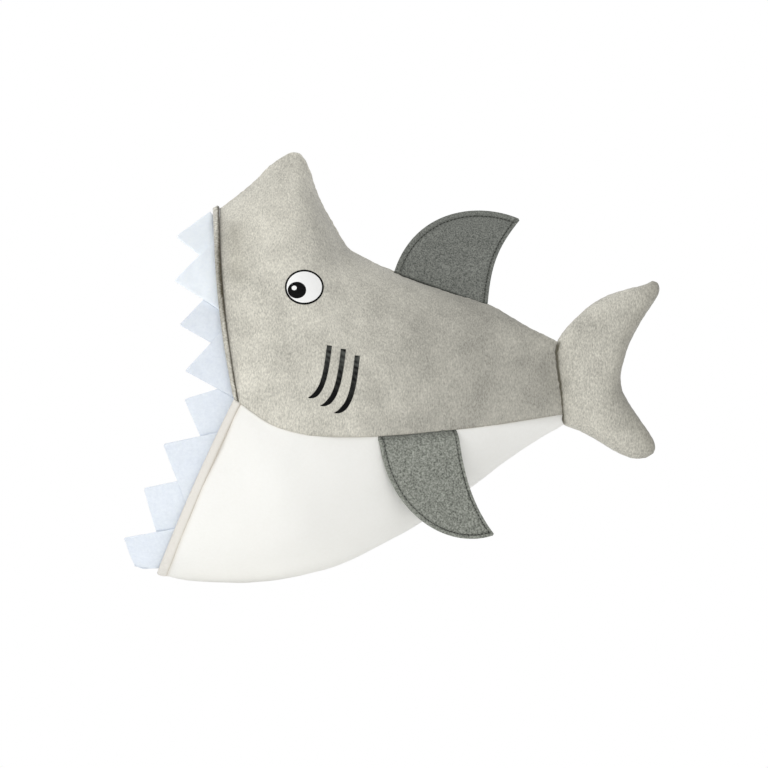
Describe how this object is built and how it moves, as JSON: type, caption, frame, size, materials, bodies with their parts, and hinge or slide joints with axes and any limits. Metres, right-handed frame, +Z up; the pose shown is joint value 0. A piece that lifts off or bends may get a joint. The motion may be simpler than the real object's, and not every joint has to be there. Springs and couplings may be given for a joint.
{
  "type": "plush shark hat",
  "caption": "Soft shark hat with a wide open mouth ringed by felt teeth, felt fins and a stuffed tail; the head goes in the mouth.",
  "frame": {"origin": "halfway between the two mouth corners, on the middle plane", "axes": "+X towards the tail, +Z up towards the snout, +Y towards the shark's right side; the mouth opens towards -X"},
  "size_m": [0.4005, 0.162, 0.3204],
  "materials": {
    "grey_velour": "matte",
    "white_jersey": "matte",
    "lining_cloth": "matte",
    "fibre_filling": "matte",
    "pale_blue_felt": "matte",
    "dark_grey_felt": "matte",
    "dark_thread": "matte",
    "white_print": "satin",
    "black_print": "satin"
  },
  "bodies": {
    "hat_body": {"side_panel_left": "grey_velour", "side_panel_right": "grey_velour", "belly_panel": "white_jersey", "head_lining": "lining_cloth", "snout_stuffing": "fibre_filling", "body_stuffing": "fibre_filling", "upper_rim_hem": "grey_velour", "lower_rim_binding": "white_jersey", "upper_tooth_left_1": "pale_blue_felt", "upper_tooth_left_2": "pale_blue_felt", "upper_tooth_left_3": "pale_blue_felt", "upper_tooth_left_4": "pale_blue_felt", "upper_tooth_right_1": "pale_blue_felt", "upper_tooth_right_2": "pale_blue_felt", "upper_tooth_right_3": "pale_blue_felt", "upper_tooth_right_4": "pale_blue_felt", "lower_tooth_left_1": "pale_blue_felt", "lower_tooth_left_2": "pale_blue_felt", "lower_tooth_left_3": "pale_blue_felt", "lower_tooth_left_4": "pale_blue_felt", "lower_tooth_right_1": "pale_blue_felt", "lower_tooth_right_2": "pale_blue_felt", "lower_tooth_right_3": "pale_blue_felt", "lower_tooth_right_4": "pale_blue_felt", "eye_outline_left": "black_print", "eye_white_left": "white_print", "eye_pupil_left": "black_print", "eye_highlight_left": "white_print", "gill_strokes_left": "black_print", "eye_outline_right": "black_print", "eye_white_right": "white_print", "eye_pupil_right": "black_print", "eye_highlight_right": "white_print", "gill_strokes_right": "black_print"},
    "dorsal_fin": {"dorsal_felt_left": "dark_grey_felt", "dorsal_felt_right": "dark_grey_felt", "dorsal_stitching": "dark_thread"},
    "pectoral_fin_left": {"pectoral_left_outer_felt": "dark_grey_felt", "pectoral_left_inner_felt": "dark_grey_felt", "pectoral_left_stitching": "dark_thread"},
    "pectoral_fin_right": {"pectoral_right_outer_felt": "dark_grey_felt", "pectoral_right_inner_felt": "dark_grey_felt", "pectoral_right_stitching": "dark_thread"},
    "tail_fin": {"tail_cover_left": "grey_velour", "tail_cover_right": "grey_velour", "tail_stuffing": "fibre_filling"}
  },
  "joints": [
    {"name": "dorsal_fin_flop", "type": "hinge", "parent": "hat_body", "child": "dorsal_fin", "pos_m": [0.117, 0, 0.09544], "axis": [0.9431, 0, -0.3324], "range_deg": [-75, 75], "stiffness_Nm_per_rad": 0.006},
    {"name": "pectoral_fin_left_swing", "type": "hinge", "parent": "hat_body", "child": "pectoral_fin_left", "pos_m": [0.103, -0.06785, -0.02823], "axis": [-0.9226, -0.378, -0.0774], "range_deg": [0, 120]},
    {"name": "pectoral_fin_right_swing", "type": "hinge", "parent": "hat_body", "child": "pectoral_fin_right", "pos_m": [0.103, 0.06785, -0.02823], "axis": [0.9226, -0.378, 0.0774], "range_deg": [0, 120]},
    {"name": "tail_fin_swing", "type": "hinge", "parent": "hat_body", "child": "tail_fin", "pos_m": [0.244, 0, 0.01125], "axis": [-0.0987, 0, 0.9951], "range_deg": [-50, 50], "stiffness_Nm_per_rad": 0.03}
  ]
}
